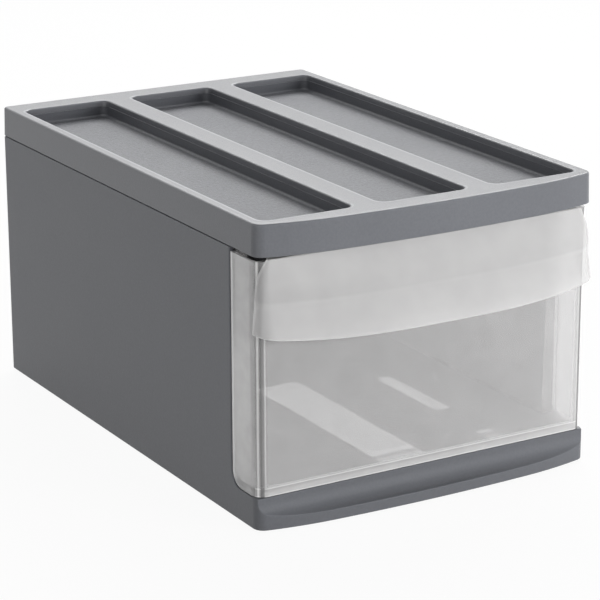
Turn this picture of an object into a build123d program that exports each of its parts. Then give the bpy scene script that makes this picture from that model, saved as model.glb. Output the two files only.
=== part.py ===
from build123d import *
import math
import os

os.makedirs("parts", exist_ok=True)

# A stackable drawer box: a casing, a top cover with three troughs, a clear drawer
# and a frosted hood on its front as the handle.
# Millimetres. +Z is up and the drawer opens towards -Y. The origin is the middle of
# the footprint, on the surface that the box stands on.

# ---- Overall sizes ----
body_width = 255.0
body_depth = 376.0  # side wall, from the front corners to the back
overall_height = 203.0
hood_reach = 19.0  # lip of the handle hood in front of the front corners
stack_drop = 2.0  # stacking ribs below the skirt

# ---- Walls and fits ----
wall = 3.0  # casing and cover
plate = 2.5  # casing floor and cover top
slide_gap = 0.3  # between the tub floor and its rails, and at the stops
seam_gap = 0.7  # groove that shows between cover and casing
joint_gap = 0.2  # tongue and lip, side by side
corner_radius = 8.0  # front corners in plan
back_radius = 4.0  # back corners in plan

# ---- Bowed fronts ----
bow_shoulder = 75.0  # half width of the flatter middle of a bow
shoulder_share = 0.8  # how much of the bow is reached at the shoulder

# ---- Casing ----
sill_height = 21.0  # rim of the tray above the skirt's lower edge
sill_bow = 10.0
floor_drop = 4.0  # floor below the rim
side_setback = 33.5  # side wall cut back behind the front corners
side_corner = 11.0  # round corner where the side wall meets the rim
cove_radius = 11.0
cove_back = 1.8  # back of the finger cove behind the front corners
ridge_height = 7.5  # lower edge of the cove above the skirt's lower edge
rim_back = 7.0  # inner face of the front rim behind the front corners
rear_relief = 1.3  # rear wall set in between plinth and top ledge
plinth_height = 14.0
ledge_height = 10.0
edge_round = 0.8

rail_width = 4.0
inner_rail_place = 45.0  # each side of the middle
outer_rail_inset = 15.0  # inside the tub's sides
rail_start = 42.0  # behind the front corners
rail_end_gap = 12.0  # before the rear wall

centre_slot = (38.0, 174.0)  # width, length
centre_slot_start = 26.5  # behind the front corners
side_slot_width = 15.5
side_slot_place = 75.0  # each side of the middle
side_slots = ((26.5, 21.5), (91.5, 84.0))  # start behind the front corners, length
slot_radius = 2.0

stack_rib_width = 4.0
stack_rib_margin = 3.0  # inside the trough of the box below

# ---- Top cover ----
cover_height = 21.0
cover_bow = 12.0
cover_draft = 1.5  # degrees
rim_radius = 1.5
trough_margin = 8.0  # outer troughs inside the casing's faces
trough_depth = 12.0
trough_start = 6.5  # behind the front corners
trough_end = 20.0  # before the back
trough_radius = 7.0
ridge_width = 19.0
trough_step_depth = 4.0
trough_step_draft = 8.0  # degrees, above the step
trough_step = 0.7
trough_draft = 2.5  # degrees, below the step
trough_wall = 2.0
trough_floor_radius = 2.0
trough_edge_radius = 1.2

tongue_height = 8.0
lip = 1.6  # cover's lip outside the tongue
lip_round = 0.5
snap_length = 12.0
snap_height = 1.6
snap_reach = 0.5
snap_count = 3
snap_pitch = 110.0
snap_clearance = 0.2

# ---- Drawer ----
front_setback = 1.5  # panel behind the front corners
side_inset = 0.8  # side flanges inside the casing's faces
flange_gap = 0.5  # flange to the casing's cut edge
sill_gap = 0.6  # panel above the rim
front_lip = 2.4  # panel below the tub floor
drawer_drop = 3.6  # drawer's top below the cover
front_wall = 2.5
flange_wall = 2.0
tub_wall = 2.0
tub_floor = 2.0
tub_side_gap = 2.5  # tub rim inside the casing's side walls
tub_draft = 1.0  # degrees
tub_radius = 8.0
tub_floor_round = 4.0
tub_rear_gap = 5.0
tub_lap = 8.0  # tub runs on into the front block
tub_rim_width = 4.0
tub_rim_height = 1.8

drawer_travel = 270.0
stop_width = 12.0
stop_thickness = 2.5
stop_headroom = 2.1  # stop lug below the trough floors
stop_rib_clearance = 3.1  # stop rib above the drawer's walls

# ---- Handle hood ----
hood_wall = 2.0
hood_fit = 0.1
hood_cheek = 3.5  # cheeks reach back behind the front corners
hood_lip = 1.2  # over the drawer's top edge
hood_height = 54.6  # from its top to the lower edge in the middle
hood_smile = 8.0  # lower edge rises this much to its ends
hood_bow = 12.0
hood_side = 1.8  # lower ends outside the casing's faces
hood_corner = 11.0
# below the top, reach, bow, inside the widest plan, corner radius
hood_sections = (
    (0.0, 0.3, 1.0, 9.6, 3.0),
    (12.0, 4.6, 3.0, 4.0, 6.0),
    (30.0, 9.2, 7.0, 0.9, 9.5),
    (hood_height, hood_reach, hood_bow, 0.0, hood_corner),
)
clip_width = 22.0
clip_length = 8.0
clip_wall = 1.2
clip_pitch = 80.0
clip_count = 3

# ---- Places that follow ----
half_width = body_width / 2
corner_y = (hood_reach - body_depth) / 2
rear_y = corner_y + body_depth
skirt_z = stack_drop
rim_z = skirt_z + sill_height
floor_z = rim_z - floor_drop
cover_z = overall_height - cover_height
shoulder_z = cover_z - seam_gap
cut_y = corner_y + side_setback
cove_y = corner_y + cove_back
ridge_z = skirt_z + ridge_height
rear_inner_y = rear_y - rear_relief - wall

trough_width = (body_width - 2 * trough_margin - 2 * ridge_width) / 3
trough_length = body_depth - trough_start - trough_end
trough_pitch = trough_width + ridge_width
trough_y = corner_y + trough_start + trough_length / 2
trough_places = [(side * trough_pitch, trough_y) for side in (-1, 0, 1)]
trough_z = overall_height - trough_depth
trough_inset = trough_step + trough_step_depth * math.tan(math.radians(trough_step_draft))

panel_y = corner_y + front_setback
return_y = cut_y - flange_gap
drawer_half = half_width - side_inset
hood_half = half_width + hood_side
flange_corner = side_corner - flange_gap
front_z = rim_z + sill_gap
tub_z = front_z + front_lip
drawer_z = cover_z - drawer_drop
tub_rear_y = rear_inner_y - tub_rear_gap
tub_half_width = half_width - wall - tub_side_gap - tub_rim_width
draft_slope = math.tan(math.radians(tub_draft))

ridge_places = [side * trough_pitch / 2 for side in (-1, 1)]
lug_top = trough_z - trough_wall - stop_headroom
lug_front_y = tub_rear_y - stop_thickness
stop_y = lug_front_y - drawer_travel - slide_gap
stop_bottom = drawer_z + stop_rib_clearance

snap_z = cover_z + tongue_height / 2
snap_places = [
    (cut_y + rear_y) / 2 + (n - (snap_count - 1) / 2) * snap_pitch for n in range(snap_count)
]
stack_places = [
    side * (trough_pitch + edge * (trough_width / 2 - stack_rib_margin - stack_rib_width / 2))
    for side in (-1, 1)
    for edge in (-1, 1)
]


def bowed_plan(half, front_y, back_y, bow, front_radius):
    """Plan outline with a straight back and a front that bows forward between its corners."""
    shoulder_y = front_y - bow * shoulder_share
    with BuildSketch() as plan:
        with BuildLine():
            middle = ThreePointArc(
                (-bow_shoulder, shoulder_y), (0, front_y - bow), (bow_shoulder, shoulder_y)
            )
            TangentArc(middle @ 1, (half, front_y), tangent=middle % 1)
            TangentArc(middle @ 0, (-half, front_y), tangent=(middle % 0) * -1)
            Polyline((half, front_y), (half, back_y), (-half, back_y), (-half, front_y))
        make_face()
        ends = plan.vertices().filter_by(lambda v: abs(v.X) > half - front_radius)
        fillet(ends.group_by(Axis.Y)[0], front_radius)
    return plan.sketch


# ---- Casing: tray, side and rear walls in one moulding ----

with BuildPart() as underside:
    with BuildSketch(Plane.XY.offset(skirt_z)):
        add(
            bowed_plan(
                half_width - wall,
                corner_y + wall,
                rear_y - wall,
                sill_bow,
                corner_radius - wall,
            )
        )
    extrude(amount=floor_z - plate - skirt_z)
    with BuildSketch(Plane.YZ) as cove_back_wall:
        with BuildLine():
            Polyline(
                (corner_y - 2 * sill_bow, ridge_z - wall),
                (cove_y + wall, ridge_z - wall),
                (cove_y + wall, rim_z),
                (corner_y - 2 * sill_bow, rim_z),
                close=True,
            )
        make_face()
        fillet(
            cove_back_wall.vertices().sort_by_distance((cove_y + wall, ridge_z - wall, 0))[0],
            cove_radius + wall,
        )
    extrude(amount=half_width, both=True, mode=Mode.SUBTRACT)

with BuildPart() as casing:
    with BuildSketch(Plane.YZ) as side:
        with BuildLine():
            Polyline(
                (corner_y - 2 * sill_bow, skirt_z),
                (rear_y, skirt_z),
                (rear_y, shoulder_z),
                (cut_y, shoulder_z),
                (cut_y, rim_z),
                (corner_y - 2 * sill_bow, rim_z),
                close=True,
            )
        make_face()
        fillet(side.vertices().sort_by_distance((cut_y, rim_z, 0))[0], side_corner)
    extrude(amount=half_width, both=True)
    with BuildSketch(Plane.XY.offset(skirt_z)):
        add(bowed_plan(half_width, corner_y, rear_y, sill_bow, corner_radius))
    extrude(amount=shoulder_z - skirt_z, mode=Mode.INTERSECT)
    fillet(casing.edges().filter_by(Axis.Z).group_by(Axis.Y)[-1], back_radius)
    fillet(
        casing.edges().filter_by(lambda e: abs(abs(e.center().X) - half_width) < wall),
        edge_round,
    )
    # finger cove along the sill
    with BuildSketch(Plane.YZ) as cove:
        with BuildLine():
            Polyline(
                (corner_y - 2 * sill_bow, ridge_z),
                (cove_y, ridge_z),
                (cove_y, rim_z + wall),
                (corner_y - 2 * sill_bow, rim_z + wall),
                close=True,
            )
        make_face()
        fillet(cove.vertices().sort_by_distance((cove_y, ridge_z, 0))[0], cove_radius)
    extrude(amount=half_width, both=True, mode=Mode.SUBTRACT)
    ridge = casing.edges().filter_by(lambda e: abs(e.center().Z - ridge_z) < edge_round / 2)
    fillet(ridge.filter_by(lambda e: e.center().Y < corner_y), edge_round)
    # drawer space above the floor
    space_front_y = corner_y + rim_back
    space_length = rear_inner_y - space_front_y
    with BuildSketch(Plane((0, space_front_y + space_length / 2, floor_z))):
        RectangleRounded(body_width - 2 * wall, space_length, corner_radius - wall)
    extrude(amount=overall_height, mode=Mode.SUBTRACT)
    # open underside
    add(underside.part, mode=Mode.SUBTRACT)
    # rear wall set in between plinth and ledge
    relief_bottom = skirt_z + plinth_height
    relief_height = shoulder_z - ledge_height - relief_bottom
    with BuildSketch(Plane((0, rear_y, relief_bottom))):
        Rectangle(body_width, 2 * rear_relief)
    extrude(amount=relief_height, mode=Mode.SUBTRACT)
    # tongue that the cover's lip goes round
    tongue_half = half_width - lip - joint_gap
    tongue_rear_y = rear_y - lip - joint_gap
    tongue_wall = wall - lip - joint_gap
    with BuildSketch(Plane((0, (cut_y + tongue_rear_y) / 2, shoulder_z))):
        Rectangle(2 * tongue_half, tongue_rear_y - cut_y)
        with Locations((0, -tongue_wall)):
            Rectangle(2 * (tongue_half - tongue_wall), tongue_rear_y - cut_y, mode=Mode.SUBTRACT)
    extrude(amount=cover_z + tongue_height - shoulder_z)
    # snap lugs on the tongue
    with Locations(
        [
            (side * (tongue_half + snap_reach / 2), y, snap_z)
            for side in (-1, 1)
            for y in snap_places
        ]
    ):
        Box(snap_reach, snap_length, snap_height)
    # runner rails
    rail_length = rear_inner_y - rail_end_gap - corner_y - rail_start
    with Locations(
        [
            (side * x, corner_y + rail_start + rail_length / 2, floor_z)
            for side in (-1, 1)
            for x in (inner_rail_place, tub_half_width - outer_rail_inset)
        ]
    ):
        Box(
            rail_width,
            rail_length,
            tub_z - slide_gap - floor_z,
            align=(Align.CENTER, Align.CENTER, Align.MIN),
        )
    # stacking ribs, which drop into the outer troughs of the box below
    with Locations([(x, trough_y, 0) for x in stack_places]):
        Box(
            stack_rib_width,
            trough_length - 2 * stack_rib_margin,
            floor_z - plate,
            align=(Align.CENTER, Align.CENTER, Align.MIN),
        )
    # slots in the floor
    with BuildSketch(Plane.XY.offset(floor_z)):
        with Locations((0, corner_y + centre_slot_start + centre_slot[1] / 2)):
            RectangleRounded(*centre_slot, slot_radius)
        for start, length in side_slots:
            with Locations(
                [(side * side_slot_place, corner_y + start + length / 2) for side in (-1, 1)]
            ):
                RectangleRounded(side_slot_width, length, slot_radius)
    extrude(amount=-plate, mode=Mode.SUBTRACT)

casing.part.label = "casing"
export_step(casing.part, "parts/casing.step")

# ---- Top cover ----

with BuildPart() as trough:
    with BuildSketch(Plane.XY):
        RectangleRounded(trough_width, trough_length, trough_radius)
    extrude(amount=-trough_step_depth, taper=trough_step_draft)
    with BuildSketch(Plane.XY.offset(-trough_step_depth)):
        RectangleRounded(
            trough_width - 2 * trough_inset,
            trough_length - 2 * trough_inset,
            trough_radius - trough_inset,
        )
    extrude(amount=trough_step_depth - trough_depth, taper=trough_draft)
    fillet(trough.faces().sort_by(Axis.Z)[0].edges(), trough_floor_radius)

with BuildPart() as top_cover:
    with BuildSketch(Plane.XY.offset(cover_z)) as cover_plan:
        add(bowed_plan(half_width, corner_y, rear_y, cover_bow, corner_radius))
        fillet(cover_plan.vertices().group_by(Axis.Y)[-1], back_radius)
    extrude(amount=cover_height, taper=cover_draft)
    fillet(top_cover.faces().sort_by(Axis.Z)[-1].edges(), rim_radius)
    fillet(top_cover.faces().sort_by(Axis.Z)[0].edges(), lip_round)
    # hollow below the top plate
    with BuildSketch(Plane.XY.offset(cover_z)):
        add(
            bowed_plan(
                half_width - wall,
                corner_y + wall,
                rear_y - wall,
                cover_bow,
                corner_radius - wall,
            )
        )
    extrude(amount=cover_height - plate, taper=cover_draft, mode=Mode.SUBTRACT)
    # trough bodies under the plate
    with BuildSketch(Plane.XY.offset(overall_height - plate)):
        with Locations(trough_places):
            RectangleRounded(
                trough_width + 2 * trough_wall,
                trough_length + 2 * trough_wall,
                trough_radius + trough_wall,
            )
    extrude(amount=plate - trough_depth - trough_wall)
    # troughs
    with Locations([(x, y, overall_height) for x, y in trough_places]):
        add(trough.part, mode=Mode.SUBTRACT)
    top_edges = top_cover.faces().sort_by(Axis.Z)[-1].inner_wires().edges()
    fillet(top_edges, trough_edge_radius)
    # recess that leaves a thin lip outside the tongue
    with BuildSketch(Plane((0, (cut_y - joint_gap + rear_y - lip) / 2, cover_z))):
        Rectangle(2 * (half_width - lip), rear_y - lip - cut_y + joint_gap)
    extrude(amount=tongue_height, mode=Mode.SUBTRACT)
    # pockets for the snap lugs
    with Locations(
        [
            (side * (tongue_half + snap_reach / 2), y, snap_z)
            for side in (-1, 1)
            for y in snap_places
        ]
    ):
        Box(
            snap_reach + 2 * snap_clearance,
            snap_length + 2 * snap_clearance,
            snap_height + 2 * snap_clearance,
            mode=Mode.SUBTRACT,
        )
    # stop ribs under the ridges
    with Locations([(x, stop_y, overall_height - plate) for x in ridge_places]):
        Box(
            ridge_width - 2 * trough_wall,
            stop_thickness,
            overall_height - plate - stop_bottom,
            align=(Align.CENTER, Align.MAX, Align.MAX),
        )

top_cover.part.label = "top_cover"
export_step(top_cover.part, "parts/top_cover.step")

# ---- Drawer ----


def front_profile(front_y, back_y, bottom_z, back_radius):
    """Side view of the drawer's front block, rounded at its lower back corner."""
    with BuildSketch(Plane.YZ) as profile:
        with BuildLine():
            Polyline(
                (front_y, bottom_z),
                (back_y, bottom_z),
                (back_y, drawer_z),
                (front_y, drawer_z),
                close=True,
            )
        make_face()
        fillet(profile.vertices().sort_by_distance((back_y, bottom_z, 0))[0], back_radius)
    return profile.sketch


def tub_half(z):
    return tub_half_width - (drawer_z - z) * draft_slope


def tub_plan(z, inset):
    """Plan of the tub at a height, with its walls drawn in by an inset."""
    back_y = tub_rear_y - (drawer_z - z) * draft_slope - inset
    front_y = return_y - tub_lap
    with BuildSketch(Plane((0, (front_y + back_y) / 2, z))) as plan:
        Rectangle(2 * (tub_half(z) - inset), back_y - front_y)
        fillet(plan.vertices().group_by(Axis.Y)[-1], tub_radius - inset)
    return plan.sketch


with BuildPart() as tub:
    extrude(tub_plan(tub_z, 0), amount=drawer_z - tub_z, taper=-tub_draft)
    fillet(tub.faces().sort_by(Axis.Z)[0].edges(), tub_floor_round)

with BuildPart() as tub_space:
    extrude(
        tub_plan(tub_z + tub_floor, tub_wall), amount=drawer_z - tub_z - tub_floor, taper=-tub_draft
    )
    fillet(tub_space.faces().sort_by(Axis.Z)[0].edges(), tub_floor_round - tub_wall)

with BuildPart() as drawer_space:
    extrude(
        front_profile(
            panel_y + front_wall,
            return_y - flange_wall,
            tub_z + tub_floor,
            flange_corner - front_lip - tub_floor,
        ),
        amount=drawer_half - flange_wall,
        both=True,
    )
    fillet(
        drawer_space.edges().filter_by(Axis.Z).group_by(Axis.Y)[0],
        corner_radius - front_wall,
    )
    add(tub_space.part)

with BuildPart() as drawer:
    extrude(
        front_profile(panel_y, return_y, front_z, flange_corner), amount=drawer_half, both=True
    )
    fillet(drawer.edges().filter_by(Axis.Z).group_by(Axis.Y)[0], corner_radius)
    # lip below the floor
    lip_length = return_y - flange_corner - panel_y - front_wall
    with BuildSketch(Plane((0, panel_y + front_wall + lip_length / 2, front_z))):
        RectangleRounded(
            2 * (drawer_half - flange_wall), lip_length, corner_radius - front_wall
        )
    extrude(amount=front_lip, mode=Mode.SUBTRACT)
    # tub and its rim
    add(tub.part)
    with BuildSketch(Plane.XY.offset(drawer_z - tub_rim_height)) as rim:
        with Locations((0, (return_y + tub_rear_y + tub_rim_width) / 2)):
            Rectangle(
                2 * (tub_half_width + tub_rim_width), tub_rear_y + tub_rim_width - return_y
            )
        fillet(rim.vertices().group_by(Axis.Y)[-1], tub_radius + tub_rim_width)
    extrude(amount=tub_rim_height)
    add(drawer_space.part, mode=Mode.SUBTRACT)
    # stop lugs on the rear wall
    with Locations([(x, tub_rear_y, drawer_z) for x in ridge_places]):
        Box(
            stop_width,
            stop_thickness,
            lug_top - drawer_z,
            align=(Align.CENTER, Align.MAX, Align.MIN),
        )

drawer.part.label = "drawer"
export_step(drawer.part, "parts/drawer.step")

# ---- Handle hood ----

hood_z = drawer_z + hood_lip


def hood_body(inset):
    """Solid under the hood's outer surface, drawn in by an inset."""
    with BuildPart() as body:
        for drop, reach, bow, draw_in, radius in hood_sections:
            with BuildSketch(Plane.XY.offset(hood_z - drop)):
                add(
                    bowed_plan(
                        hood_half - draw_in - inset,
                        corner_y - reach + bow + inset,
                        return_y,
                        bow,
                        radius - inset,
                    )
                )
        loft()
    return body.part


hood_outer = hood_body(0)
hood_inner = hood_body(hood_wall)

with BuildPart() as drawer_front:
    with BuildSketch(Plane.XY.offset(hood_z - hood_height)) as envelope:
        with Locations((0, (panel_y - hood_fit + cut_y) / 2)):
            Rectangle(2 * (drawer_half + hood_fit), cut_y - panel_y + hood_fit)
        fillet(envelope.vertices().group_by(Axis.Y)[0], corner_radius + hood_fit)
    extrude(amount=drawer_z - hood_z + hood_height)

with BuildPart() as handle_hood:
    add(hood_outer)
    add(hood_inner, mode=Mode.SUBTRACT)
    add(drawer_front.part, mode=Mode.SUBTRACT)
    # cheeks end beside the drawer's corners
    with BuildSketch(Plane.XY.offset(hood_z - hood_height)):
        with Locations((0, corner_y + hood_cheek - hood_reach)):
            Rectangle(body_width + 4 * hood_side, 2 * hood_reach)
    extrude(amount=hood_height, mode=Mode.INTERSECT)
    # lower edge rises to its ends
    smile_z = hood_z - hood_height
    with BuildSketch(Plane.XZ.offset(-return_y)):
        with BuildLine():
            middle = ThreePointArc(
                (-bow_shoulder, smile_z + hood_smile * (1 - shoulder_share)),
                (0, smile_z),
                (bow_shoulder, smile_z + hood_smile * (1 - shoulder_share)),
            )
            TangentArc(middle @ 1, (hood_half, smile_z + hood_smile), tangent=middle % 1)
            TangentArc(middle @ 0, (-hood_half, smile_z + hood_smile), tangent=(middle % 0) * -1)
            Polyline(
                (hood_half, smile_z + hood_smile),
                (hood_half, smile_z - hood_wall),
                (-hood_half, smile_z - hood_wall),
                (-hood_half, smile_z + hood_smile),
            )
        make_face()
    extrude(amount=body_depth, mode=Mode.SUBTRACT)
    # lip over the drawer's top edge, with clips inside the panel
    lip_front_y = panel_y - hood_fit
    lip_back_y = panel_y + front_wall + hood_fit + clip_wall
    lip_half = hood_half - hood_sections[0][3] - hood_sections[0][4]
    with BuildSketch(Plane((0, (lip_front_y + lip_back_y) / 2, drawer_z))):
        Rectangle(2 * lip_half, lip_back_y - lip_front_y)
    extrude(amount=hood_lip)
    with BuildSketch(Plane((0, lip_back_y - clip_wall / 2, drawer_z))):
        with GridLocations(clip_pitch, 0, clip_count, 1):
            Rectangle(clip_width, clip_wall)
    extrude(amount=-clip_length)

handle_hood.part.label = "handle_hood"
export_step(handle_hood.part, "parts/handle_hood.step")
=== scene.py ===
import math

import bpy
from bpy.props import (
    FloatProperty,
    FloatVectorProperty,
    IntProperty,
    PointerProperty,
)
from mathutils import Matrix, Vector


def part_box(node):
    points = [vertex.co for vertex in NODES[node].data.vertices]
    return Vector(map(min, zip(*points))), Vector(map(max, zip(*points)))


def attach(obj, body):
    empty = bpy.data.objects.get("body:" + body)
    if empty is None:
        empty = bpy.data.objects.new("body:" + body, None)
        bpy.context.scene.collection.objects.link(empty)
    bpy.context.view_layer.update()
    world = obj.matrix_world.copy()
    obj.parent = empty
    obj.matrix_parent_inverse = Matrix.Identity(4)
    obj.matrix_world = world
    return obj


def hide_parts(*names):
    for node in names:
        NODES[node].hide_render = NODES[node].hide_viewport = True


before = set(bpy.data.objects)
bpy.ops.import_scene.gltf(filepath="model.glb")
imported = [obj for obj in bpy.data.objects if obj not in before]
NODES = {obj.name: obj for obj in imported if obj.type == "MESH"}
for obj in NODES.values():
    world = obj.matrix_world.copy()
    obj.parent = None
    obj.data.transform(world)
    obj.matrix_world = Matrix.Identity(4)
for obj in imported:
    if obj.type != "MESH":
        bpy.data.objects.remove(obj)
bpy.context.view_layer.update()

bl_info = {
    "name": "Stackable Drawer Box",
    "version": (1, 0, 0),
    "blender": (4, 5, 0),
    "location": "View3D > Sidebar > Drawer Box",
    "description": "Finishes, frosted hood and studio for a stackable drawer box",
    "category": "Object",
}


# ---- Places and sizes of the pieces, in metres ----

# The box's own middle plane is x = 0, and its hood rides on the drawer.
HOOD_LOW, HOOD_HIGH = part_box("handle_hood")
DRAWER_LOW, DRAWER_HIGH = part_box("drawer")
COVER_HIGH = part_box("top_cover")[1]

HOOD_REACH = 0.019  # lip of the hood in front of the casing's front corners
CORNER_Y = HOOD_LOW.y + HOOD_REACH  # front corners of the casing
PANEL_Y = CORNER_Y + 0.0015  # front face of the drawer
FLANGE_BACK = 0.0315  # back edge of the side flanges, behind the drawer's front face
DRAWER_CORNER = 0.008  # radius of the drawer's front corners

TROUGH_PITCH = 0.086
TROUGH_HALF = (0.0335, 0.17475)  # half width, half length
TROUGH_RADIUS = 0.007
TROUGH_DEPTH = 0.012
TROUGH_START = 0.0065  # behind the front corners
TROUGH_Y = CORNER_Y + TROUGH_START + TROUGH_HALF[1]  # middle of the troughs
TROUGH_FLOOR = COVER_HIGH.z - TROUGH_DEPTH
FLOOR_FADE = (0.0003, 0.002)  # above the trough floors, where their coarse grain fades out
# The troughs lie further than this inside the cover's sides, front corners and back.
FLOOR_MARGINS = (0.006, 0.004, 0.01)
TROUGH_HIGHLIGHT = 0.003  # beside a trough's edge, where its painted highlight runs
TROUGH_ROUND = 0.0012  # height of the rounded edge

# ---- Curves of light and tone, as (place, value) ----

# Painted highlights where light gathers in the clear moulding: up the front's foot, along the
# flanges' backs and beside the front's corners. Then the painted shade line beside the corners.
FOOT_LIGHT = (
    *((0.0, 1.0), (0.07, 1.0), (0.12, 0.4), (0.62, 0.4)),
    *((0.66, 1.0), (0.72, 1.0), (0.78, 0.0), (1.0, 0.0)),
)
FLANGE_LIGHT = ((0.0, 0.0), (0.35, 0.0), (0.5, 0.7), (1.0, 0.7))
CORNER_LIGHT = ((0.0, 0.0), (0.22, 0.0), (0.26, 1.0), (0.36, 1.0), (0.42, 0.0), (1.0, 0.0))
CORNER_PAINTED_SHADE = ((0.0, 0.2), (0.03, 0.3), (0.06, 1.0), (0.17, 1.0), (0.22, 0.0), (1.0, 0.0))
# How the hood's tone runs down it, with painted shade above its crease, and how the painted
# highlight beside a trough runs across itself.
HOOD_CREASE_SHADE = ((0.0, 0.97), (0.3, 0.95), (0.53, 0.88), (0.57, 0.96), (1.0, 1.0))
EDGE_LIGHT = ((0.0, 0.0), (0.15, 0.0), (0.3, 1.0), (0.65, 1.0), (0.8, 0.0), (1.0, 0.0))


# ---- Sizes and colours that a user would change ----


class GreyPlasticSettings(bpy.types.PropertyGroup):
    """Dark grey moulding of the casing and the top cover."""

    colour: FloatVectorProperty(
        name="Colour",
        description="Body colour of the grey moulding",
        subtype="COLOR",
        size=3,
        min=0.0,
        max=1.0,
        default=(0.099, 0.103, 0.114),
    )
    cover_tone: FloatProperty(
        name="Cover tone",
        description="How much paler the top cover is than the casing",
        min=0.5,
        max=2.0,
        default=1.15,
    )
    roughness: FloatProperty(
        name="Roughness",
        description="Roughness of the moulded surface",
        subtype="FACTOR",
        min=0.0,
        max=1.0,
        default=0.46,
    )
    sheen: FloatProperty(
        name="Sheen",
        description="Pale bloom of the moulded grain where a face turns away",
        subtype="FACTOR",
        min=0.0,
        max=1.0,
        default=0.12,
    )
    grain_size: FloatProperty(
        name="Grain size",
        description="Width of one grain of the moulded texture",
        subtype="DISTANCE",
        unit="LENGTH",
        min=0.0001,
        max=0.01,
        default=0.0009,
    )
    trough_grain_size: FloatProperty(
        name="Trough grain size",
        description="Width of one grain on the trough floors",
        subtype="DISTANCE",
        unit="LENGTH",
        min=0.0001,
        max=0.01,
        default=0.0022,
    )


class ClearPlasticSettings(bpy.types.PropertyGroup):
    """Clear, slightly milky moulding of the drawer."""

    colour: FloatVectorProperty(
        name="Haze colour",
        description="Colour of the milkiness in the clear moulding",
        subtype="COLOR",
        size=3,
        min=0.0,
        max=1.0,
        default=(0.75, 0.745, 0.745),
    )
    haze: FloatProperty(
        name="Haze",
        description="How milky one face of the clear moulding is, seen square on",
        subtype="FACTOR",
        min=0.0,
        max=1.0,
        default=0.2,
    )
    edge_haze: FloatProperty(
        name="Edge haze",
        description="How milky one face is, seen along itself",
        subtype="FACTOR",
        min=0.0,
        max=1.0,
        default=0.84,
    )
    roughness: FloatProperty(
        name="Roughness",
        description="Roughness of the clear surface",
        subtype="FACTOR",
        min=0.0,
        max=1.0,
        default=0.12,
    )


class HoodSettings(bpy.types.PropertyGroup):
    """Frosted hood on the drawer's front."""

    colour: FloatVectorProperty(
        name="Colour",
        description="Colour of the frosted moulding",
        subtype="COLOR",
        size=3,
        min=0.0,
        max=1.0,
        default=(0.64, 0.635, 0.635),
    )
    opacity: FloatProperty(
        name="Opacity",
        description="How opaque one face of the hood is",
        subtype="FACTOR",
        min=0.0,
        max=1.0,
        default=0.48,
    )
    wall: FloatProperty(
        name="Wall",
        description="Thickness of the hood",
        subtype="DISTANCE",
        unit="LENGTH",
        min=0.0005,
        max=0.005,
        default=0.002,
    )
    smile: FloatProperty(
        name="Rise of the lower edge",
        description="How far the lower edge rises from the middle to its ends",
        subtype="DISTANCE",
        unit="LENGTH",
        min=0.0,
        max=0.03,
        default=0.008,
    )
    clip_count: IntProperty(
        name="Clips",
        description="Clips behind the drawer's front",
        min=2,
        max=7,
        default=3,
    )


class StudioSettings(bpy.types.PropertyGroup):
    """Camera, lamps and floor."""

    lens: FloatProperty(
        name="Lens",
        description="Focal length of the camera",
        subtype="DISTANCE_CAMERA",
        min=20.0,
        max=400.0,
        default=150.0,
    )
    floor_colour: FloatVectorProperty(
        name="Floor colour",
        description="Colour of the floor",
        subtype="COLOR",
        size=3,
        min=0.0,
        max=1.0,
        default=(0.76, 0.76, 0.76),
    )
    top_light: FloatProperty(
        name="Top light",
        description="Strength of the soft box above",
        min=0.0,
        max=200.0,
        default=3.5,
    )
    back_light: FloatProperty(
        name="Back light",
        description="Strength of the soft box behind, which the top faces mirror",
        min=0.0,
        max=200.0,
        default=48.0,
    )
    front_light: FloatProperty(
        name="Front light",
        description="Strength of the soft box in front",
        min=0.0,
        max=200.0,
        default=37.0,
    )
    side_light: FloatProperty(
        name="Side light",
        description="Strength of the small soft box at the left",
        min=0.0,
        max=200.0,
        default=6.5,
    )
    horizon: FloatProperty(
        name="Horizon",
        description="Brightness that gloss sees low around the box",
        min=0.0,
        max=4.0,
        default=1.3,
    )
    strip: FloatProperty(
        name="Strip",
        description="Brightness of the strip under the ceiling, which rounded edges mirror",
        min=0.0,
        max=8.0,
        default=3.0,
    )
    ceiling: FloatProperty(
        name="Ceiling",
        description="Brightness that gloss sees above the box",
        min=0.0,
        max=4.0,
        default=0.3,
    )
    surround: FloatProperty(
        name="Surround",
        description="Strength of the even light from all sides",
        min=0.0,
        max=2.0,
        default=0.11,
    )


# ---- Node trees ----


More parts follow.
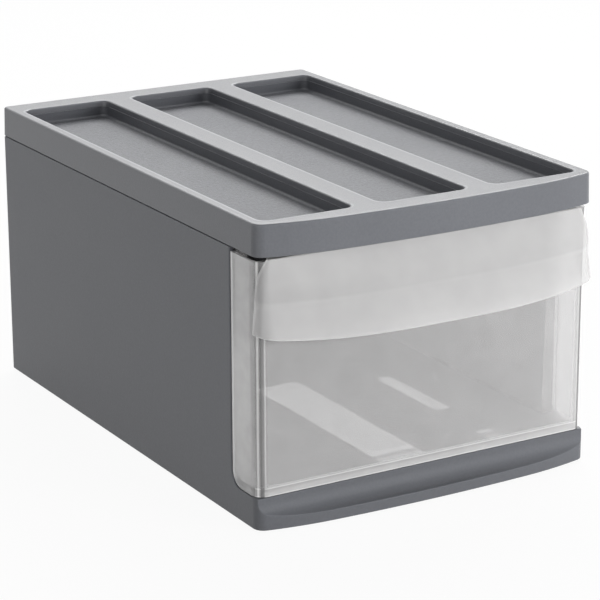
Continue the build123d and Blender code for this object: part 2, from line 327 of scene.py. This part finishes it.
class Tree:
    """A node tree, with short calls for its nodes, its sums and its curves."""

    def __init__(self, tree):
        self.tree = tree

    def node(self, kind, **settings):
        made = self.tree.nodes.new(kind)
        for key, value in settings.items():
            setattr(made, key, value)
        return made

    def feed(self, socket, value):
        """Links a socket to another one, or sets it to a plain value."""
        if isinstance(value, bpy.types.NodeSocket):
            self.tree.links.new(value, socket)
        else:
            socket.default_value = value

    def calc(self, operation, *values, clamp=False):
        made = self.node("ShaderNodeMath", operation=operation, use_clamp=clamp)
        for socket, value in zip(made.inputs, values):
            self.feed(socket, value)
        return made.outputs["Value"]

    def add(self, first, second):
        return self.calc("ADD", first, second)

    def less(self, first, second):
        return self.calc("SUBTRACT", first, second)

    def times(self, first, second):
        return self.calc("MULTIPLY", first, second)

    def over(self, first, second):
        return self.calc("DIVIDE", first, second)

    def size(self, value):
        """A value without its sign."""
        return self.calc("ABSOLUTE", value)

    def split(self, vector):
        """The outputs X, Y and Z of a vector."""
        made = self.node("ShaderNodeSeparateXYZ")
        self.feed(made.inputs["Vector"], vector)
        return made.outputs

    def float_curve(self, factor, points, kinks=None):
        """A curve through points, with a kink at the places named, or at all of them."""
        made = self.node("ShaderNodeFloatCurve")
        curve = made.mapping.curves[0]
        while len(curve.points) < len(points):
            curve.points.new(0.5, 0.5)
        for point, (place, value) in zip(curve.points, points):
            point.location = (place, value)
            point.handle_type = "VECTOR" if kinks is None or place in kinks else "AUTO"
        made.mapping.update()
        self.feed(made.inputs["Value"], factor)
        return made.outputs["Value"]


class Shade(Tree):
    """A material's node tree, painted in the object's own coordinates."""

    NOISE_MIDDLE = (0.3, 0.7)  # range that most of a noise's values lie in
    NOISE_WHOLE = (0.1, 0.9)  # range that holds them all, so that nothing is cut off

    def __init__(self, name):
        self.material = bpy.data.materials.new(name)
        self.material.use_nodes = True
        super().__init__(self.material.node_tree)
        self.surface = self.tree.nodes["Principled BSDF"]
        self.output = self.tree.nodes["Material Output"]
        self.place = self.node("ShaderNodeTexCoord").outputs["Object"]

    def paint(self, values):
        """Feeds the surface's sockets, by their labels."""
        for label, value in values.items():
            self.feed(self.surface.inputs[label], value)

    def noise(self, size, detail=2.0, rough=0.5):
        """Noise whose features are about size metres wide."""
        made = self.node("ShaderNodeTexNoise")
        made.inputs["Scale"].default_value = 1.0 / size
        made.inputs["Detail"].default_value = detail
        made.inputs["Roughness"].default_value = rough
        self.feed(made.inputs["Vector"], self.place)
        return made.outputs["Fac"]

    def ranged(self, source, low, high, from_low=0.0, from_high=1.0):
        """A value carried from one range to another."""
        made = self.node("ShaderNodeMapRange")
        made.inputs["From Min"].default_value = from_low
        made.inputs["From Max"].default_value = from_high
        made.inputs["To Min"].default_value = low
        made.inputs["To Max"].default_value = high
        self.feed(made.inputs["Value"], source)
        return made.outputs["Result"]

    def around(self, noise, middle, swing, span=NOISE_MIDDLE):
        """A value that a noise swings to both sides of a middle."""
        return self.ranged(noise, middle - swing, middle + swing, *span)

    def axis(self, letter):
        """One of the object's own coordinates."""
        return self.split(self.place)[letter]

    def curve(self, source, low, high, points):
        """A curve of straight pieces as the source goes from low to high."""
        return self.float_curve(self.ranged(source, 0.0, 1.0, low, high), points)

    def tinted(self, colour, factor):
        """A colour multiplied by a varying factor."""
        made = self.node("ShaderNodeVectorMath", operation="SCALE")
        made.inputs[0].default_value = colour
        self.feed(made.inputs["Scale"], factor)
        return made.outputs["Vector"]

    def bump(self, height, depth, strength):
        """A bump whose depth is in metres."""
        made = self.node("ShaderNodeBump")
        made.inputs["Strength"].default_value = strength
        made.inputs["Distance"].default_value = depth
        self.feed(made.inputs["Height"], height)
        return made.outputs["Normal"]


# ---- Materials ----

CLOUD_SIZE = 0.07  # patches in the grey moulding
SPECKLE_RATIO = 1.7  # width of a speckle over that of a grain
GREY_BUMP = (0.00012, 0.8)  # depth in metres, strength
COARSE_RATIO = 6.0  # depth of the coarse grain over that of the fine one
COVER_POLISH = -0.16  # roughness of the cover over the casing's, off its trough floors
FLOOR_MATT = 0.14  # and on them
HIGHLIGHT_GAIN = 1.2  # how much paler the painted highlight along the troughs is
HIGHLIGHT_FRONT = 0.6  # share of it along their front edges

MIST_SIZE = 0.012
RIPPLE_SIZE = 0.03
RIPPLE_BUMP = (0.0004, 0.06)
PANEL_SKIN = 0.0045  # behind the drawer's front face, where it is dressed as the front
FLANGE_SKIN = 0.0025  # inside its side faces, where it is dressed as a flange
FOOT_HEIGHT = 0.008  # foot of the front, where light gathers
FLANGE_STRIP = 0.004  # strip at the flanges' back edges
PAINTED_HAZE_GAIN = 0.45  # painted haze where light gathers and on the painted shade beside it
CORNER_SHADE = 0.72  # how much darker the painted shade line beside the corners is
SIDE_PAINTED_LIGHT = 0.28  # how much paler the flanges are painted, standing in for light scattered through them from behind
FRONT_TONE = 0.05  # how much darker the front is

HOOD_GRAIN = 0.0008
HOOD_BUMP = (0.00004, 0.5)
HOOD_CLOUD = 0.03
EDGE_PAINTED_HIGHLIGHT = 0.3  # how much paler the hood's edges are painted, as a highlight
EDGE_OPACITY = 0.25  # how much more opaque they are

FLOOR_GLOW = 0.94  # share of plain white that the camera sees in the floor


def grey_grain(shade, settings):
    """Fine grain of the grey moulding: its height, its tone and its roughness."""
    height = shade.noise(settings.grain_size, detail=3.0, rough=0.6)
    cloud = shade.noise(CLOUD_SIZE)
    speckle = shade.noise(settings.grain_size * SPECKLE_RATIO, detail=1.0)
    patches = shade.around(cloud, 1.0, 0.06, Shade.NOISE_WHOLE)
    tone = shade.times(patches, shade.around(speckle, 1.0, 0.045))
    rough = shade.around(cloud, settings.roughness, 0.04, Shade.NOISE_WHOLE)
    return height, tone, rough


def trough_floors(shade):
    """1 on the trough floors and 0 elsewhere."""
    low, high = (TROUGH_FLOOR + above for above in FLOOR_FADE)
    mask = shade.ranged(shade.axis("Z"), 1.0, 0.0, low, high)
    side, front, rear = FLOOR_MARGINS
    back = shade.axis("Y")
    for test, value, limit in (
        ("LESS_THAN", shade.size(shade.axis("X")), COVER_HIGH.x - side),
        ("GREATER_THAN", back, CORNER_Y + front),
        ("LESS_THAN", back, COVER_HIGH.y - rear),
    ):
        mask = shade.times(mask, shade.calc(test, value, limit))
    return mask


def painted_trough_highlight(shade):
    """1 along the left and front edges of the troughs, where a highlight of light from behind is
    painted.
    """
    lane = shade.calc(
        "FLOORED_MODULO", shade.add(shade.axis("X"), 1.5 * TROUGH_PITCH), TROUGH_PITCH
    )
    across = shade.less(lane, TROUGH_PITCH / 2)
    along = shade.less(shade.axis("Y"), TROUGH_Y)
    # distance from the outline, a rectangle with round corners
    total = 0.0
    for value, half in zip((across, along), TROUGH_HALF):
        past = shade.less(shade.size(value), half - TROUGH_RADIUS)
        past = shade.calc("MAXIMUM", past, 0.0)
        total = shade.add(shade.times(past, past), total)
    away = shade.less(shade.calc("SQRT", total), TROUGH_RADIUS)
    line = shade.curve(away, 0.0, TROUGH_HIGHLIGHT, EDGE_LIGHT)
    left = shade.calc("LESS_THAN", across, TROUGH_RADIUS - TROUGH_HALF[0])
    front = shade.calc("LESS_THAN", along, TROUGH_RADIUS - TROUGH_HALF[1])
    where = shade.calc("MAXIMUM", left, shade.times(front, HIGHLIGHT_FRONT))
    on_top = shade.calc("GREATER_THAN", shade.axis("Z"), COVER_HIGH.z - TROUGH_ROUND)
    return shade.times(line, shade.times(where, on_top))


def cover_grain(shade, settings, height, tone, rough):
    """The grey grain with the cover's coarse, matt trough floors, smoother ridges and a painted
    highlight along the troughs' edges.
    """
    on_floor = trough_floors(shade)
    coarse = shade.noise(settings.trough_grain_size, detail=4.0, rough=0.65)
    height = shade.add(height, shade.times(shade.times(coarse, on_floor), COARSE_RATIO))
    rough = shade.add(rough, shade.ranged(on_floor, COVER_POLISH, FLOOR_MATT))
    spots_and_highlight = shade.times(shade.around(coarse, 0.0, 0.2), on_floor)
    # painted highlight along the troughs' left and front edges, added to the random spots
    spots_and_highlight = shade.add(spots_and_highlight, shade.times(painted_trough_highlight(shade), HIGHLIGHT_GAIN))
    return height, shade.times(tone, shade.add(spots_and_highlight, settings.cover_tone)), rough


def grey_plastic(settings, name, troughs=False):
    """Moulded grey plastic of the casing or, with troughs, of the cover."""
    shade = Shade(name)
    grain = grey_grain(shade, settings)
    if troughs:
        grain = cover_grain(shade, settings, *grain)
    height, tone, rough = grain
    shade.paint(
        {
            "Base Color": shade.tinted(settings.colour, tone),
            "Roughness": rough,
            "Normal": shade.bump(height, *GREY_BUMP),
            "Sheen Weight": settings.sheen,
            "Sheen Roughness": 0.3,
        }
    )
    return shade.material


def clear_plastic(settings, name):
    """Clear plastic with a little haze, denser where a face is seen along itself."""
    shade = Shade(name)
    facing = shade.node("ShaderNodeLayerWeight")
    facing.inputs["Blend"].default_value = 0.3
    mist = shade.noise(MIST_SIZE, detail=3.0)
    haze = shade.ranged(facing.outputs["Facing"], settings.haze, settings.edge_haze)
    haze = shade.times(haze, shade.around(mist, 1.0, 0.05))

    # painted highlights where light gathers along the front's lower edge, the flanges' back edges
    # and beside the corners, with a painted shade line beside them
    out = shade.size(shade.axis("X"))
    back = shade.less(shade.axis("Y"), DRAWER_LOW.y)
    up = shade.less(shade.axis("Z"), DRAWER_LOW.z)
    on_front = shade.calc("LESS_THAN", back, PANEL_SKIN)
    on_side = shade.calc("GREATER_THAN", out, DRAWER_HIGH.x - FLANGE_SKIN)
    on_corner = shade.calc("GREATER_THAN", out, DRAWER_HIGH.x - DRAWER_CORNER)
    foot = shade.curve(up, 0.0, FOOT_HEIGHT, FOOT_LIGHT)
    strip = shade.curve(back, FLANGE_BACK - FLANGE_STRIP, FLANGE_BACK, FLANGE_LIGHT)
    beside = shade.curve(back, 0.0, DRAWER_CORNER, CORNER_LIGHT)
    glow = shade.add(shade.times(foot, on_front), shade.times(strip, on_side))
    glow = shade.add(glow, shade.times(beside, on_corner))
    painted_shade_line = shade.times(shade.curve(back, 0.0, DRAWER_CORNER, CORNER_PAINTED_SHADE), on_corner)
    painted_haze = shade.times(shade.add(glow, painted_shade_line), PAINTED_HAZE_GAIN)

    # painted shade line beside the corners
    tone = shade.less(shade.around(mist, 0.99, 0.01), shade.times(painted_shade_line, CORNER_SHADE))
    # flanges painted paler, for light scattered through them from behind
    tone = shade.add(tone, shade.times(on_side, SIDE_PAINTED_LIGHT))
    tone = shade.less(tone, shade.times(on_front, FRONT_TONE))
    shade.paint(
        {
            "Base Color": shade.tinted(settings.colour, tone),
            "Alpha": shade.add(haze, painted_haze),
            "Roughness": shade.around(mist, settings.roughness, 0.02),
            "Normal": shade.bump(shade.noise(RIPPLE_SIZE), *RIPPLE_BUMP),
        }
    )
    return shade.material


def frosted_plastic(settings, name):
    """Frosted translucent plastic with a fine matt grain, painted shade above its crease and
    painted highlights on its edges.
    """
    shade = Shade(name)
    cloud = shade.noise(HOOD_CLOUD)
    fall, edge = (
        shade.node("ShaderNodeAttribute", attribute_name=label).outputs["Fac"]
        for label in ("fall", "edge")
    )
    # painted shade in a band just above the hood's crease, by how far down the hood a point is
    tone = shade.times(shade.curve(fall, 0.0, 1.0, HOOD_CREASE_SHADE), shade.around(cloud, 1.0, 0.02))
    # painted highlight on the hood's rounded edges
    tone = shade.add(tone, shade.times(edge, EDGE_PAINTED_HIGHLIGHT))
    opacity = shade.around(cloud, settings.opacity, 0.02)
    shade.paint(
        {
            "Base Color": shade.tinted(settings.colour, tone),
            "Alpha": shade.add(opacity, shade.times(edge, EDGE_OPACITY)),
            "Roughness": shade.around(cloud, 0.44, 0.04),
            "Normal": shade.bump(shade.noise(HOOD_GRAIN, detail=3.0), *HOOD_BUMP),
        }
    )
    return shade.material


def floor_finish(colour):
    """Pale floor that the camera sees almost white, with the soft shadow kept."""
    shade = Shade("pale_floor")
    shade.paint({"Base Color": (*colour, 1.0), "Roughness": 0.9})
    glow = shade.node("ShaderNodeEmission")
    glow.inputs["Color"].default_value = (1.0, 1.0, 1.0, 1.0)
    path = shade.node("ShaderNodeLightPath").outputs
    seen = shade.calc("MAXIMUM", path["Is Camera Ray"], path["Is Transmission Ray"])
    seen = shade.calc("MAXIMUM", seen, path["Is Glossy Ray"])
    mix = shade.node("ShaderNodeMixShader")
    shade.feed(mix.inputs["Fac"], shade.times(seen, FLOOR_GLOW))
    shade.feed(mix.inputs[1], shade.surface.outputs["BSDF"])
    shade.feed(mix.inputs[2], glow.outputs["Emission"])
    shade.feed(shade.output.inputs["Surface"], mix.outputs["Shader"])
    return shade.material


def dress(node, material):
    """Gives a CAD node one material."""
    mesh = NODES[node].data
    mesh.materials.clear()
    mesh.materials.append(material)


# ---- Hood ----

HOOD_TOP = HOOD_HIGH.z
HOOD_HEIGHT = HOOD_HIGH.z - HOOD_LOW.z
HOOD_BACK = 0.0035  # cheeks reach back behind the front corners
# below the top, reach, bow, inside the widest plan, corner radius
HOOD_SECTIONS = (
    (0.0, 0.0003, 0.001, 0.0096, 0.003),
    (0.012, 0.0052, 0.003, 0.004, 0.006),
    (0.023, 0.0085, 0.0055, 0.0018, 0.008),
    (0.030, 0.0092, 0.007, 0.0009, 0.0095),
    (0.0546, HOOD_REACH, 0.012, 0.0, 0.011),
)
HOOD_CREASE = 3  # row of the sections where the reach has a kink
SECTION_TOP = 0.02  # above every reach, bow and radius
HOOD_GRID = (193, 105)  # points across the hood, points round its section
BENT_POWER = 3.0  # how late the bow and the rise of the lower edge set in
SMILE_SPAN = 0.98  # share of the sheet's half width that the rise is measured over
WELD = 0.00001  # distance below which the sheet's points are merged

# Shares of the way round the section: down the outside, round the lower edge, up the inside.
DOWN, TURNED, RISEN = 0.46, 0.52, 0.98
# Shares of the way to a side: across the front, round the corner. The rest closes the cheek.
FRONT_END, CORNER_END = 0.84, 0.985

FIT = 0.0001  # clearance between hood and drawer
LIP_FRONT = PANEL_Y - 0.001
LIP_BACK = PANEL_Y + 0.0038
LIP_HALF = 0.1167
LIP_HEIGHT = 0.0012
CLIP_SIZE = (0.022, 0.0012, 0.008)
CLIP_PITCH = 0.08


class Rule(Tree):
    """A Geometry Nodes tree, with named inputs that a modifier sets."""

    def __init__(self, name, inputs):
        super().__init__(bpy.data.node_groups.new(name, "GeometryNodeTree"))
        face = self.tree.interface
        self.sockets = {}
        for label, (kind, _) in inputs.items():
            made = face.new_socket(label, in_out="INPUT", socket_type=kind)
            self.sockets[label] = made.identifier
        face.new_socket("Geometry", in_out="OUTPUT", socket_type="NodeSocketGeometry")
        self.values = {label: value for label, (_, value) in inputs.items()}
        self.inlet = self.node("NodeGroupInput")
        self.outlet = self.node("NodeGroupOutput")

    def given(self, label):
        return self.inlet.outputs[label]

    def share(self, value, low, high):
        """How far a value has gone from low to high, held between 0 and 1."""
        return self.calc("DIVIDE", self.less(value, low), self.less(high, low), clamp=True)

    def joined(self, **parts):
        """A vector of the parts named x, y and z."""
        made = self.node("ShaderNodeCombineXYZ")
        for letter, value in parts.items():
            self.feed(made.inputs[letter.upper()], value)
        return made.outputs["Vector"]

    def stored(self, geometry, label, value):
        """Geometry that carries a value of each point under a name."""
        made = self.node("GeometryNodeStoreNamedAttribute")
        made.inputs["Name"].default_value = label
        self.feed(made.inputs["Geometry"], geometry)
        self.feed(made.inputs["Value"], value)
        return made.outputs["Geometry"]

    def block(self, size, middle):
        """A block with straight edges."""
        cube = self.node("GeometryNodeMeshCube")
        cube.inputs["Size"].default_value = size
        moved = self.node("GeometryNodeTransform")
        moved.inputs["Translation"].default_value = middle
        self.feed(moved.inputs["Geometry"], cube.outputs["Mesh"])
        return moved.outputs["Geometry"]

    def as_object(self, geometry, material, name):
        """The tree's geometry in one material, as a plain mesh object."""
        realize = self.node("GeometryNodeRealizeInstances")
        finish = self.node("GeometryNodeSetMaterial")
        self.feed(realize.inputs["Geometry"], geometry)
        self.feed(finish.inputs["Geometry"], realize.outputs["Geometry"])
        finish.inputs["Material"].default_value = material
        self.feed(self.outlet.inputs["Geometry"], finish.outputs["Geometry"])
        holder = bpy.data.objects.new(name, bpy.data.meshes.new(name + "_start"))
        bpy.context.scene.collection.objects.link(holder)
        modifier = holder.modifiers.new(name, "NODES")
        modifier.node_group = self.tree
        for label, value in self.values.items():
            modifier[self.sockets[label]] = value
        graph = bpy.context.evaluated_depsgraph_get()
        mesh = bpy.data.meshes.new_from_object(holder.evaluated_get(graph))
        mesh.name = name
        holder.modifiers.remove(modifier)
        holder.data = mesh
        return holder


def hood_profiles(rule, factor):
    """Reach, bow, inset of the plan and corner radius at a share of the hood's height."""
    places = [section[0] / HOOD_HEIGHT for section in HOOD_SECTIONS]
    profiles = []
    for column, kinks in ((1, (places[HOOD_CREASE],)), (2, ()), (3, ()), (4, ())):
        points = [
            (place, section[column] / SECTION_TOP)
            for place, section in zip(places, HOOD_SECTIONS)
        ]
        profiles.append(rule.times(rule.float_curve(factor, points, kinks), SECTION_TOP))
    return profiles


def hood_plan(rule, along, inset, profiles):
    """Where a point of the hood is, out from the middle and back, at a share of the way along."""
    reach, bow, drawn, radius = profiles
    front = rule.share(along, 0.0, FRONT_END)
    corner = rule.share(along, FRONT_END, CORNER_END)
    half = rule.less(rule.less(rule.given("Half width"), drawn), inset)
    inner_radius = rule.less(radius, inset)
    ends_y = rule.add(rule.add(rule.less(CORNER_Y, reach), bow), inset)
    cheek = rule.less(CORNER_Y + HOOD_BACK, ends_y)
    turn = rule.calc("SUBTRACT", 1.0, rule.over(cheek, inner_radius), clamp=True)
    angle = rule.times(rule.calc("ARCCOSINE", turn), corner)
    out = rule.add(
        rule.times(rule.less(half, inner_radius), front),
        rule.times(inner_radius, rule.calc("SINE", angle)),
    )
    bent = rule.calc("POWER", rule.over(out, half), BENT_POWER)
    y = rule.less(ends_y, rule.times(bow, rule.less(1.0, bent)))
    y = rule.add(y, rule.times(inner_radius, rule.less(1.0, rule.calc("COSINE", angle))))
    # the drawer's front keeps the sheet out
    past = rule.less(out, DRAWER_HIGH.x - DRAWER_CORNER)
    past = rule.calc("MINIMUM", rule.calc("MAXIMUM", past, 0.0), DRAWER_CORNER)
    round_y = rule.calc("SQRT", rule.less(DRAWER_CORNER**2, rule.times(past, past)))
    return out, rule.calc("MINIMUM", y, rule.less(PANEL_Y + DRAWER_CORNER - FIT, round_y))


def hood_sheet(rule):
    """Sheet whose plan, bow and reach change down its height, closed round its edges."""
    wall, height = rule.given("Wall"), rule.given("Height")
    columns, rows = HOOD_GRID
    grid = rule.node("GeometryNodeMeshGrid")
    for label, value in (
        ("Size X", 2.0),
        ("Size Y", 1.0),
        ("Vertices X", columns),
        ("Vertices Y", rows),
    ):
        grid.inputs[label].default_value = value
    spot = rule.split(rule.node("GeometryNodeInputPosition").outputs["Position"])
    across = spot["X"]
    along = rule.size(across)
    loop = rule.add(spot["Y"], 0.5)

    # round the section: down the outside, round the lower edge, up the inside, over the top
    turning = rule.times(rule.share(loop, DOWN, TURNED), math.pi)
    closing = rule.share(loop, RISEN, 1.0)
    fall = rule.less(rule.share(loop, 0.0, DOWN), rule.share(loop, TURNED, RISEN))
    half_wall = rule.times(wall, 0.5)
    inset = rule.times(half_wall, rule.less(1.0, rule.calc("COSINE", turning)))
    inset = rule.times(inset, rule.less(1.0, closing))
    bead = rule.times(half_wall, rule.calc("SINE", turning))
    capping = rule.share(along, CORNER_END, 1.0)
    inset = rule.add(rule.times(inset, rule.less(1.0, capping)), rule.times(half_wall, capping))

    # down the hood, to a lower edge that rises towards the sides
    rise = rule.calc("POWER", rule.times(along, SMILE_SPAN), BENT_POWER)
    rise = rule.times(rule.given("Smile"), rise)
    drop = rule.times(fall, rule.less(rule.less(height, rise), half_wall))
    out, y = hood_plan(rule, along, inset, hood_profiles(rule, rule.over(drop, height)))
    z = rule.less(rule.less(HOOD_TOP, drop), bead)

    # the stored edge and fall carry the hood's painted edge highlight and painted crease shade
    edge = rule.calc("ADD", rule.calc("SINE", turning), capping, clamp=True)
    sheet = rule.stored(grid.outputs["Mesh"], "fall", fall)
    sheet = rule.stored(sheet, "edge", edge)
    place = rule.node("GeometryNodeSetPosition")
    merge = rule.node("GeometryNodeMergeByDistance")
    smooth = rule.node("GeometryNodeSetShadeSmooth")
    side = rule.calc("SIGN", across)
    rule.feed(place.inputs["Geometry"], sheet)
    rule.feed(place.inputs["Position"], rule.joined(x=rule.times(out, side), y=y, z=z))
    merge.inputs["Distance"].default_value = WELD
    rule.feed(merge.inputs["Geometry"], place.outputs["Geometry"])
    rule.feed(smooth.inputs["Geometry"], merge.outputs["Geometry"])
    return smooth.outputs["Geometry"]


def hood_lip(rule):
    """Lip over the drawer's top edge."""
    return rule.block(
        (2 * LIP_HALF, LIP_BACK - LIP_FRONT, LIP_HEIGHT - FIT),
        (0.0, (LIP_FRONT + LIP_BACK) / 2, HOOD_TOP - (LIP_HEIGHT + FIT) / 2),
    )


def hood_clips(rule):
    """Row of clips inside the drawer's front."""
    _, wall, length = CLIP_SIZE
    clip = rule.block(
        CLIP_SIZE, (0.0, LIP_BACK - wall / 2, HOOD_TOP - LIP_HEIGHT - length / 2)
    )
    pitch = rule.given("Clip pitch")
    spans = rule.less(rule.given("Clips"), 1.0)
    line = rule.node("GeometryNodeMeshLine")
    rule.feed(line.inputs["Count"], rule.given("Clips"))
    start = rule.times(rule.times(spans, -0.5), pitch)
    rule.feed(line.inputs["Start Location"], rule.joined(x=start))
    rule.feed(line.inputs["Offset"], rule.joined(x=pitch))
    clips = rule.node("GeometryNodeInstanceOnPoints")
    rule.feed(clips.inputs["Points"], line.outputs["Mesh"])
    rule.feed(clips.inputs["Instance"], clip)
    return clips.outputs["Instances"]


def hood_object(settings):
    """The hood as a mesh object: sheet, lip and clips."""
    rule = Rule(
        "hood_rule",
        {
            "Wall": ("NodeSocketFloat", settings.wall),
            "Height": ("NodeSocketFloat", HOOD_HEIGHT),
            "Half width": ("NodeSocketFloat", HOOD_HIGH.x),
            "Smile": ("NodeSocketFloat", settings.smile),
            "Clips": ("NodeSocketInt", settings.clip_count),
            "Clip pitch": ("NodeSocketFloat", CLIP_PITCH),
        },
    )
    join = rule.node("GeometryNodeJoinGeometry")
    for part in (hood_sheet(rule), hood_lip(rule), hood_clips(rule)):
        rule.feed(join.inputs["Geometry"], part)
    finish = frosted_plastic(settings, "frosted_hood")
    return rule.as_object(join.outputs["Geometry"], finish, "hood_sheet")


# ---- Studio ----

CAMERA_PLACE = (-0.8452, -1.4534, 0.6131)
CAMERA_TURN = (30.44, 17.37, -0.17)  # azimuth, pitch, roll
AIM = (0.0, 0.0, 0.1)  # middle of the box, which the lamps aim at
# name, place, size, whether gloss mirrors it
LAMPS = (
    ("top", (-0.1, 0.3, 1.9), (1.6, 1.6), True),
    ("back", (1.0, 1.15, 1.7), (2.0, 1.2), True),
    ("front", (0.9, -1.7, 0.42), (1.2, 0.7), False),
    ("side", (-1.7, -0.9, 0.45), (0.9, 0.7), True),
)
FLOOR_REACH = 6.0


def look_along(azimuth, pitch, roll):
    """Turn of a camera looking along an azimuth from +Y towards +X, down by pitch, in degrees."""
    a, p, r = (math.radians(v) for v in (azimuth, pitch, roll))
    ahead = Vector((math.sin(a) * math.cos(p), math.cos(a) * math.cos(p), -math.sin(p)))
    right = Vector((math.cos(a), -math.sin(a), 0.0))
    up = right.cross(ahead)
    rolled_right = right * math.cos(r) + up * math.sin(r)
    rolled_up = up * math.cos(r) - right * math.sin(r)
    return Matrix((rolled_right, rolled_up, -ahead)).transposed()


def add_camera(scene, lens):
    """The camera, with a lens in millimetres."""
    data = bpy.data.cameras.new("camera")
    data.sensor_width = 36.0
    data.lens = lens
    camera = bpy.data.objects.new("camera", data)
    camera.matrix_world = Matrix.Translation(CAMERA_PLACE) @ look_along(*CAMERA_TURN).to_4x4()
    scene.collection.objects.link(camera)
    scene.camera = camera


def add_soft_box(scene, name, place, size, power, gloss):
    """An area lamp aimed at the box, hidden from the camera and, without gloss, from mirrors."""
    lamp = bpy.data.lights.new(name, "AREA")
    lamp.shape = "RECTANGLE"
    lamp.size, lamp.size_y = size
    lamp.energy = power
    held = bpy.data.objects.new(name, lamp)
    held.location = place
    held.visible_camera = False
    held.visible_glossy = gloss
    held.rotation_euler = (Vector(AIM) - Vector(place)).to_track_quat("-Z", "Y").to_euler()
    scene.collection.objects.link(held)


def add_world(scene, settings):
    """Air that gloss sees as horizon, strip and darker ceiling, and the camera as white."""
    scene.world = bpy.data.worlds.new("studio_air")
    scene.world.use_nodes = True
    sky = Tree(scene.world.node_tree)
    path = sky.node("ShaderNodeLightPath").outputs
    height = sky.split(sky.node("ShaderNodeTexCoord").outputs["Generated"])["Z"]
    levels = (
        (0.0, settings.horizon),
        (0.42, settings.horizon),
        (0.5, settings.strip),
        (0.6, settings.strip),
        (0.72, settings.ceiling),
    )
    brightest = max(level for _, level in levels)
    ceiling = sky.node("ShaderNodeValToRGB")
    ramp = ceiling.color_ramp
    while len(ramp.elements) < len(levels):
        ramp.elements.new(0.5)
    for element, (place, level) in zip(ramp.elements, levels):
        element.position = place
        element.color = (*[level / brightest] * 3, 1.0)
    sky.feed(ceiling.inputs["Fac"], height)
    strength = settings.surround
    for ray, seen in (
        ("Is Glossy Ray", sky.times(ceiling.outputs["Color"], brightest)),
        ("Is Camera Ray", 1.0),
    ):
        mix = sky.node("ShaderNodeMix")
        sky.feed(mix.inputs["Factor"], path[ray])
        sky.feed(mix.inputs["A"], strength)
        sky.feed(mix.inputs["B"], seen)
        strength = mix.outputs["Result"]
    air = sky.tree.nodes["Background"]
    air.inputs["Color"].default_value = (1.0, 1.0, 1.0, 1.0)
    sky.feed(air.inputs["Strength"], strength)


def add_floor(scene, colour):
    """A flat floor."""
    turns = ((-1, -1), (1, -1), (1, 1), (-1, 1))
    corners = [(x * FLOOR_REACH, y * FLOOR_REACH, 0) for x, y in turns]
    mesh = bpy.data.meshes.new("floor")
    mesh.from_pydata(corners, [], [(0, 1, 2, 3)])
    mesh.materials.append(floor_finish(colour))
    ground = bpy.data.objects.new("floor", mesh)
    scene.collection.objects.link(ground)


# ---- Operators ----


class DRAWERBOX_OT_casing(bpy.types.Operator):
    """Finish the grey casing"""

    bl_idname = "drawerbox.casing"
    bl_label = "Finish casing"

    def execute(self, context):
        dress("casing", grey_plastic(context.scene.drawerbox_grey, "grey_casing"))
        return {"FINISHED"}


class DRAWERBOX_OT_top_cover(bpy.types.Operator):
    """Finish the grey top cover, with a coarser grain on its trough floors"""

    bl_idname = "drawerbox.top_cover"
    bl_label = "Finish top cover"

    def execute(self, context):
        settings = context.scene.drawerbox_grey
        dress("top_cover", grey_plastic(settings, "grey_top_cover", troughs=True))
        return {"FINISHED"}


class DRAWERBOX_OT_drawer(bpy.types.Operator):
    """Finish the clear drawer"""

    bl_idname = "drawerbox.drawer"
    bl_label = "Finish drawer"

    def execute(self, context):
        dress("drawer", clear_plastic(context.scene.drawerbox_clear, "clear_drawer"))
        return {"FINISHED"}


class DRAWERBOX_OT_hood(bpy.types.Operator):
    """Make the frosted hood"""

    bl_idname = "drawerbox.hood"
    bl_label = "Make hood"

    def execute(self, context):
        hood = hood_object(context.scene.drawerbox_hood)
        if not hood.data.polygons:
            raise RuntimeError("the hood's tree made no faces")
        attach(hood, "drawer")
        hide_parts("handle_hood")
        return {"FINISHED"}


class DRAWERBOX_OT_studio(bpy.types.Operator):
    """Make the camera, the lamps, the world and the floor"""

    bl_idname = "drawerbox.studio"
    bl_label = "Make studio"

    def execute(self, context):
        scene = context.scene
        settings = scene.drawerbox_studio
        scene.view_settings.view_transform = "Standard"
        add_camera(scene, settings.lens)
        for name, place, size, gloss in LAMPS:
            power = getattr(settings, name + "_light")
            add_soft_box(scene, name + "_box", place, size, power, gloss)
        add_world(scene, settings)
        add_floor(scene, settings.floor_colour)
        return {"FINISHED"}


class DRAWERBOX_PT_panel(bpy.types.Panel):
    """Lists the box's operators and settings"""

    bl_label = "Drawer Box"
    bl_idname = "DRAWERBOX_PT_panel"
    bl_space_type = "VIEW_3D"
    bl_region_type = "UI"
    bl_category = "Drawer Box"

    def draw(self, context):
        for group in SETTINGS:
            box = self.layout.box()
            settings = getattr(context.scene, group)
            for key in settings.__annotations__:
                box.prop(settings, key)
        for operator in OPERATORS:
            self.layout.operator(operator.bl_idname)


SETTINGS = {
    "drawerbox_grey": GreyPlasticSettings,
    "drawerbox_clear": ClearPlasticSettings,
    "drawerbox_hood": HoodSettings,
    "drawerbox_studio": StudioSettings,
}
OPERATORS = (
    DRAWERBOX_OT_casing,
    DRAWERBOX_OT_top_cover,
    DRAWERBOX_OT_drawer,
    DRAWERBOX_OT_hood,
    DRAWERBOX_OT_studio,
)


def register():
    for name, group in SETTINGS.items():
        bpy.utils.register_class(group)
        setattr(bpy.types.Scene, name, PointerProperty(type=group))
    for operator in OPERATORS:
        bpy.utils.register_class(operator)
    bpy.utils.register_class(DRAWERBOX_PT_panel)


def unregister():
    bpy.utils.unregister_class(DRAWERBOX_PT_panel)
    for operator in reversed(OPERATORS):
        bpy.utils.unregister_class(operator)
    for name, group in reversed(SETTINGS.items()):
        delattr(bpy.types.Scene, name)
        bpy.utils.unregister_class(group)


def main():
    register()
    bpy.ops.drawerbox.casing()
    bpy.ops.drawerbox.top_cover()
    bpy.ops.drawerbox.drawer()
    bpy.ops.drawerbox.hood()
    bpy.ops.drawerbox.studio()


if __name__ == "__main__":
    main()
